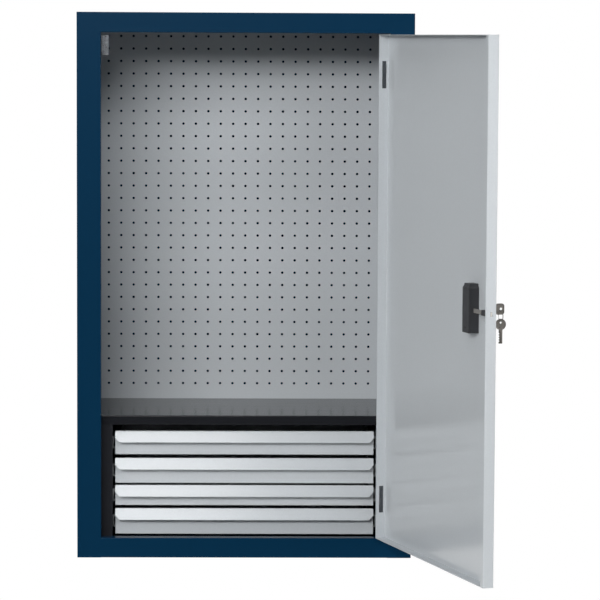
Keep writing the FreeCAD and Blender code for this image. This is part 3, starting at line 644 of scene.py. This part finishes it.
class CABINET_OT_lock_cover(bpy.types.Operator):
    """Models the moulded cover over the lock works"""
    bl_idname = "cabinet.lock_cover"
    bl_label = "Lock cover"

    def execute(self, context):
        sizes = context.scene.cabinet_sizes
        low, high = closed_box("lock_case")
        shoulder = high.z - sizes.cover_cap
        cover = add_block("lock_cover", low, (high.x, high.y, shoulder))
        edit(cover)
        pick_faces(cover, lambda centre, normal: normal.y < -FACING)
        bpy.ops.mesh.delete(type="FACE")
        pick_faces(cover, lambda centre, normal: normal.z > FACING)
        extrude((0, 0, sizes.cover_slope))
        self.step_in(cover, low, high, shoulder + sizes.cover_slope / 2, sizes.cover_step)
        pick_faces(cover, lambda centre, normal: normal.z > FACING)
        extrude((0, 0, sizes.cover_cap - sizes.cover_slope))
        pick_sharp_edges(cover, lambda middle: True)
        bpy.ops.mesh.bevel(offset=sizes.cover_edge, segments=COVER_STEPS, affect="EDGES")
        close()
        apply_modifier(cover, "SOLIDIFY", thickness=sizes.cover_wall, offset=-1, use_even_offset=True)
        self.open_gate(cover, low, sizes)
        hole_radius = sizes.case_screw_head + sizes.gate_play
        for place in case_screw_places(sizes.case_screw_head):
            hole = add_rod("hole", hole_radius, low.y, high.y + sizes.cover_cap, place, SCREW_SIDES)
            combine(cover, hole, "DIFFERENCE")
        swing_out(cover)
        fit(cover, "door", "lock_black", "lock_case")
        return {"FINISHED"}

    def step_in(self, cover, low, high, level, step):
        """Draws three sides of the cap in, so that its wall slopes."""
        for axis, side, shift in ((0, low.x, step), (0, high.x, -step), (1, high.y, -step)):
            pick_points(cover, lambda place: place.z > level and abs(place[axis] - side) < TOUCH)
            move = [0, 0, 0]
            move[axis] = shift
            bpy.ops.transform.translate(value=move)

    def open_gate(self, cover, low, sizes):
        """Cuts the gate for the bolt in the wall towards the door's free edge."""
        bolt_low, bolt_high = closed_box("lock_bolt")
        half = sizes.bolt_height / 2 + sizes.gate_play
        start = (low.x - sizes.cover_cap, bolt_low.y - sizes.gate_play, LOCK_AXIS.z - half)
        end = (low.x + sizes.cover_cap, bolt_high.y + sizes.gate_play, LOCK_AXIS.z + half)
        combine(cover, add_block("gate", start, end), "DIFFERENCE")


def case_screw_places(head_radius):
    """Centres of the lock cover's two screw heads with the door shut."""
    low, high = closed_box("lock_case_screws")
    middle = (low.x + high.x) / 2
    return [Vector((middle, high.y, z)) for z in (low.z + head_radius, high.z - head_radius)]


def panel_screw_places(head_radius):
    """Seats of the tool panel's screws, three above and three below."""
    low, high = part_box("tool_panel_screws")
    columns = (low.x + head_radius, (low.x + high.x) / 2, high.x - head_radius)
    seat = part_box("tool_panel")[0].y
    return [Vector((x, seat, z)) for z in (low.z + head_radius, high.z - head_radius) for x in columns]


def cross_head_screw(head, height, crown, shank, reach):
    """Models a screw with a crowned head and a cross recess, its seat at the origin and its head up."""
    bpy.ops.object.select_all(action="DESELECT")
    bpy.ops.mesh.primitive_circle_add(vertices=SCREW_SIDES, radius=head, fill_type="NGON")
    screw = named("screw")
    edit(screw)
    bpy.ops.mesh.select_all(action="SELECT")
    extrude((0, 0, height - crown))
    for ring in range(1, CROWN_RINGS + 1):
        before, after = (CROWN_ANGLE * step / CROWN_RINGS for step in (ring - 1, ring))
        extrude((0, 0, crown * (math.sin(after) - math.sin(before)) / math.sin(CROWN_ANGLE)))
        share = math.cos(after) / math.cos(before)
        bpy.ops.transform.resize(value=(share, share, 1))
    pick_faces(screw, lambda centre, normal: normal.z < -FACING)
    bpy.ops.mesh.inset(thickness=head - shank)
    extrude((0, 0, -reach))
    bpy.ops.mesh.select_all(action="SELECT")
    bpy.ops.mesh.normals_make_consistent(inside=False)
    close()
    long, wide = RECESS_LENGTH_SHARE * head, RECESS_WIDTH_SHARE * head
    floor, top = RECESS_FLOOR_SHARE * height, RECESS_TOP_SHARE * height
    for half_x, half_y in ((long, wide), (wide, long)):
        recess = add_block("recess", (-half_x, -half_y, floor), (half_x, half_y, top))
        edit(recess)
        pick_faces(recess, lambda centre, normal: normal.z < -FACING)
        bpy.ops.transform.resize(value=(RECESS_TAPER_SHARE, RECESS_TAPER_SHARE, 1))
        close()
        combine(screw, recess, "DIFFERENCE")
    return screw


def placed_copy(master, name, turn, place):
    """Copies a modelled piece with its own mesh to a place."""
    copy = bpy.data.objects.new(name, master.data.copy())
    bpy.context.scene.collection.objects.link(copy)
    copy.matrix_world = Matrix.Translation(place) @ Matrix.Rotation(turn, 4, "X")
    place_in_mesh(copy)
    return copy


class CABINET_OT_screws(bpy.types.Operator):
    """Models the cross head screws of the tool panel and the lock cover"""
    bl_idname = "cabinet.screws"
    bl_label = "Screws"

    def execute(self, context):
        sizes = context.scene.cabinet_sizes
        low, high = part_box("tool_panel_screws")
        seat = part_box("tool_panel")[0].y
        thick = seat - low.y
        master = cross_head_screw(sizes.screw_head, thick, PANEL_CROWN_SHARE * thick, sizes.screw_shank,
                                  high.y - seat)
        # The tool panel's screws get the drawer unit's black paint as painted shade, so that their heads read as
        # the dark holes of the panel around them.
        for number, place in enumerate(panel_screw_places(sizes.screw_head), start=1):
            screw = placed_copy(master, f"panel_screw_{number}", QUARTER_TURN, place)
            fit(screw, "cabinet", "unit_paint", "tool_panel_screws")
        bpy.data.objects.remove(master)
        low, high = closed_box("lock_case_screws")
        thick = sizes.case_screw_thickness
        master = cross_head_screw(sizes.case_screw_head, thick, COVER_CROWN_SHARE * thick,
                                  sizes.case_screw_shank, high.y - low.y - thick)
        for number, place in enumerate(case_screw_places(sizes.case_screw_head), start=1):
            seat = place - Vector((0, thick, 0))
            screw = placed_copy(master, f"cover_screw_{number}", -QUARTER_TURN, seat)
            swing_out(screw)
            fit(screw, "door", "lock_black", "lock_case_screws")
        bpy.data.objects.remove(master)
        return {"FINISHED"}


class CABINET_OT_knob(bpy.types.Operator):
    """Models the turning knob with its ribbed base"""
    bl_idname = "cabinet.knob"
    bl_label = "Knob"

    def execute(self, context):
        sizes = context.scene.cabinet_sizes
        low, high = closed_box("knob")
        radius = (high.x - low.x) / 2
        shoulder = high.y - sizes.knob_base
        knob = add_rod("turning_knob", radius, shoulder, high.y, LOCK_AXIS, FACES_PER_RIB * sizes.rib_count)
        edit(knob)
        pick_sharp_edges(knob, lambda middle: middle.y < shoulder + TOUCH)
        bpy.ops.mesh.bevel(offset=sizes.knob_edge, segments=KNOB_STEPS, affect="EDGES")
        self.cut_ribs(knob, radius, sizes)
        close()
        combine(knob, self.grip(radius, low.y, shoulder + sizes.knob_edge, sizes), "UNION")
        bore_end = closed_box("lock_cylinder")[1].y
        bore = add_rod("bore", sizes.bore_radius, low.y - sizes.knob_base, bore_end, LOCK_AXIS, BORE_SIDES)
        combine(knob, bore, "DIFFERENCE")
        swing_out(knob)
        fit(knob, "knob", "lock_black", "knob")
        return {"FINISHED"}

    def cut_ribs(self, knob, radius, sizes):
        """Draws one face for each rib of the base in, so that ribs are left between."""
        pitch = 2 * math.pi / sizes.rib_count

        def in_groove(centre, normal):
            angle = math.atan2(centre.z - LOCK_AXIS.z, centre.x - LOCK_AXIS.x)
            return abs(normal.y) < ACROSS and (angle + 2 * math.pi) % pitch < pitch / FACES_PER_RIB

        pick_faces(knob, in_groove)
        share = 1 - sizes.rib_depth / radius
        bpy.ops.transform.resize(value=(share, 1, share), center_override=LOCK_AXIS)

    def grip(self, radius, front, back, sizes):
        """Upright bar with rounded edges across the base."""
        bar = add_rod("grip", radius, front, back, LOCK_AXIS, GRIP_SIDES)
        edit(bar)
        for side in (-1, 1):
            bpy.ops.mesh.select_all(action="SELECT")
            edge = LOCK_AXIS + Vector((side * sizes.grip_half, 0, 0))
            bpy.ops.mesh.bisect(plane_co=edge, plane_no=(side, 0, 0), use_fill=True, clear_outer=True)
        pick_sharp_edges(bar, lambda middle: middle.y < back - TOUCH)
        bpy.ops.mesh.bevel(offset=sizes.knob_edge, segments=KNOB_STEPS, affect="EDGES")
        close()
        return bar


class CABINET_OT_keys(bpy.types.Operator):
    """Models the key in the lock and the spare key on the ring"""
    bl_idname = "cabinet.keys"
    bl_label = "Keys"

    def execute(self, context):
        sizes = context.scene.cabinet_sizes
        plug_face = closed_box("lock_plug")[0].y
        blade_tip = closed_box("key")[1].y
        bow_root = plug_face - sizes.key_shank
        key = self.stamped_blank("lock_key", "key", (0, bow_root, 0), (0, -1, 0), sizes)
        for side, offset in GROOVE_SHARES:
            middle = LOCK_AXIS.z + offset * sizes.key_blade
            self.mill_groove(key, side, (bow_root, middle), (blade_tip + sizes.key_blade, middle), sizes)
        self.dress(key, "key", sizes)
        low, high = closed_box("spare_key")
        bow_root = high.z - (high.y - low.y)
        spare = self.stamped_blank("hanging_key", "spare_key", (0, 0, bow_root), (0, 0, 1), sizes)
        for side, offset in GROOVE_SHARES:
            middle = (low.y + high.y) / 2 + offset * sizes.key_blade
            self.mill_groove(spare, side, (middle, low.z - sizes.key_blade), (middle, bow_root), sizes)
        self.dress(spare, "spare_key", sizes)
        return {"FINISHED"}

    def stamped_blank(self, name, node, root, bow_side, sizes):
        """Copies a key's solid and sinks a field into both faces of its bow."""
        key = bpy.data.objects.new(name, frame["nodes"][node].data.copy())
        bpy.context.scene.collection.objects.link(key)
        key.data.transform(SWING.inverted())
        select_only(key)
        bpy.ops.mesh.customdata_custom_splitnormals_clear()
        merge_doubles(key)
        edit(key)
        bpy.ops.mesh.select_all(action="SELECT")
        bpy.ops.mesh.dissolve_limited(angle_limit=FLAT_ANGLE)
        bpy.ops.mesh.bisect(plane_co=root, plane_no=bow_side)
        for side in (-1, 1):
            pick_faces(key, lambda centre, normal: normal.x * side > FACING and
                       (centre - Vector(root)).dot(Vector(bow_side)) > 0)
            bpy.ops.mesh.inset(thickness=sizes.key_rim, depth=-sizes.key_recess)
        close()
        return key

    def mill_groove(self, key, side, start, end, sizes):
        """Cuts a groove along one face of a blade, between two places in depth and height."""
        face = LOCK_AXIS.x + side * sizes.key_thickness / 2
        half = sizes.key_groove_width / 2
        low = Vector((face - sizes.key_groove, min(start[0], end[0]), min(start[1], end[1])))
        high = Vector((face + sizes.key_groove, max(start[0], end[0]), max(start[1], end[1])))
        across = 2 if start[1] == end[1] else 1
        low[across] -= half
        high[across] += half
        combine(key, add_block("groove", low, high), "DIFFERENCE")

    def dress(self, key, body, sizes):
        """Rounds a key's edges and hangs it in place."""
        apply_modifier(key, "BEVEL", width=sizes.key_edge, segments=KEY_STEPS, limit_method="ANGLE",
                       angle_limit=KEY_CORNER)
        swing_out(key)
        fit(key, body, "key_steel", body)


class CABINET_OT_key_ring(bpy.types.Operator):
    """Models the split ring through both keys"""
    bl_idname = "cabinet.key_ring"
    bl_label = "Key ring"

    def execute(self, context):
        wire = context.scene.cabinet_sizes.ring_wire
        pitch = COIL_PITCH_SHARE * wire
        bpy.ops.object.select_all(action="DESELECT")
        radius = (RING_PIVOT - SPARE_PIVOT).length / 2
        bpy.ops.mesh.primitive_circle_add(vertices=WIRE_SIDES, radius=wire, location=(radius, 0, 0),
                                          rotation=(QUARTER_TURN, 0, 0))
        ring = named("split_ring")
        place_in_mesh(ring)
        apply_modifier(ring, "SCREW", axis="Z", angle=COIL_ANGLE, screw_offset=pitch, iterations=COIL_TURNS,
                       steps=COIL_STEPS, render_steps=COIL_STEPS)
        edit(ring)
        bpy.ops.mesh.select_all(action="SELECT")
        bpy.ops.mesh.fill_holes(sides=0)
        close()
        merge_doubles(ring)
        middle = (RING_PIVOT + SPARE_PIVOT) / 2
        flat = Matrix.Rotation(QUARTER_TURN, 4, "X")
        centred = Matrix.Translation((0, 0, -pitch * COIL_TURNS / 2))
        ring.matrix_world = Matrix.Translation(middle) @ flat @ centred
        place_in_mesh(ring)
        swing_out(ring)
        fit(ring, "key_ring", "key_steel", "key_ring")
        return {"FINISHED"}


class CABINET_PT_sidebar(bpy.types.Panel):
    """Lists the steps that dress the cabinet"""
    bl_label = "Wall tool cabinet"
    bl_idname = "CABINET_PT_sidebar"
    bl_space_type = "VIEW_3D"
    bl_region_type = "UI"
    bl_category = "Cabinet"

    def draw(self, context):
        for step in STEPS:
            self.layout.operator(step.bl_idname)


STEPS = (CABINET_OT_finishes, CABINET_OT_lock_cover, CABINET_OT_screws, CABINET_OT_knob, CABINET_OT_keys,
         CABINET_OT_key_ring, CABINET_OT_studio)
GROUPS = {"cabinet_colours": CabinetColours, "cabinet_sizes": CabinetSizes, "cabinet_studio": CabinetStudio}


def register():
    """Registers the property groups, the steps and the sidebar panel."""
    for name, group in GROUPS.items():
        bpy.utils.register_class(group)
        setattr(bpy.types.Scene, name, PointerProperty(type=group))
    for step in STEPS:
        bpy.utils.register_class(step)
    bpy.utils.register_class(CABINET_PT_sidebar)


def unregister():
    """Takes the panel, the steps and the property groups away again."""
    bpy.utils.unregister_class(CABINET_PT_sidebar)
    for step in reversed(STEPS):
        bpy.utils.unregister_class(step)
    for name, group in GROUPS.items():
        delattr(bpy.types.Scene, name)
        bpy.utils.unregister_class(group)


def main():
    """Runs the steps in order."""
    register()
    for step in STEPS:
        group, operator = step.bl_idname.split(".")
        getattr(getattr(bpy.ops, group), operator)()


if __name__ == "__main__":
    main()
